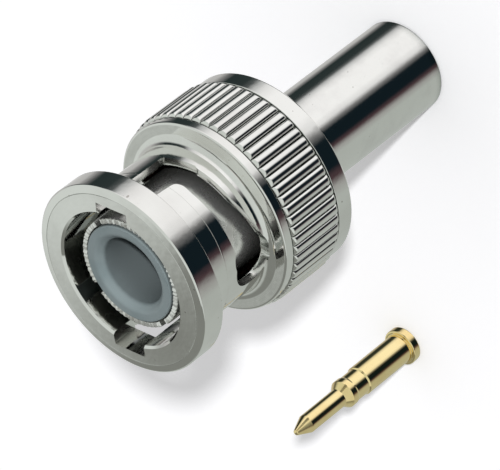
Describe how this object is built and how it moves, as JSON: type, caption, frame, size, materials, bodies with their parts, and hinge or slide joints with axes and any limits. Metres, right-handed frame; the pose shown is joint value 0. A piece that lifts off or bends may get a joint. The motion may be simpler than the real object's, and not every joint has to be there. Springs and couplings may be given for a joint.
{
  "type": "bnc connector",
  "caption": "Crimp-type coaxial plug standing on its cable end: a knurled bayonet nut with slanted slots on a sprung body, and its loose centre pin beside it.",
  "frame": {"origin": "centre of the crimp ferrule's cable end, on the surface it stands on", "axes": "+Z along the connector's axis, towards the mating face; the loose centre pin stands on the -X, +Y side"},
  "size_m": [0.0244, 0.0277, 0.0288],
  "materials": {
    "nickel": "polished",
    "spring_steel": "satin",
    "gold": "polished",
    "white_plastic": "satin",
    "red_rubber": "matte"
  },
  "bodies": {
    "plug": {"connector_body": "nickel", "outer_contact": "nickel", "insulator": "white_plastic", "gasket": "red_rubber", "crimp_ferrule": "nickel", "centre_pin": "gold", "wave_spring": "spring_steel"},
    "carrier": {"flat_washer": "spring_steel"},
    "nut": {"coupling_nut": "nickel", "retaining_ring": "spring_steel"}
  },
  "joints": [
    {"name": "nut_slide", "type": "slide", "parent": "plug", "child": "carrier", "axis": [0, 0, 1], "range_m": [0, 0.00045], "stiffness_N_per_m": 4000, "springref_m": -0.001, "deforming": ["wave_spring"]},
    {"name": "nut_turn", "type": "hinge", "parent": "carrier", "child": "nut", "pos_m": [0, 0, 0.0175], "axis": [0, 0, 1], "continuous": true}
  ]
}
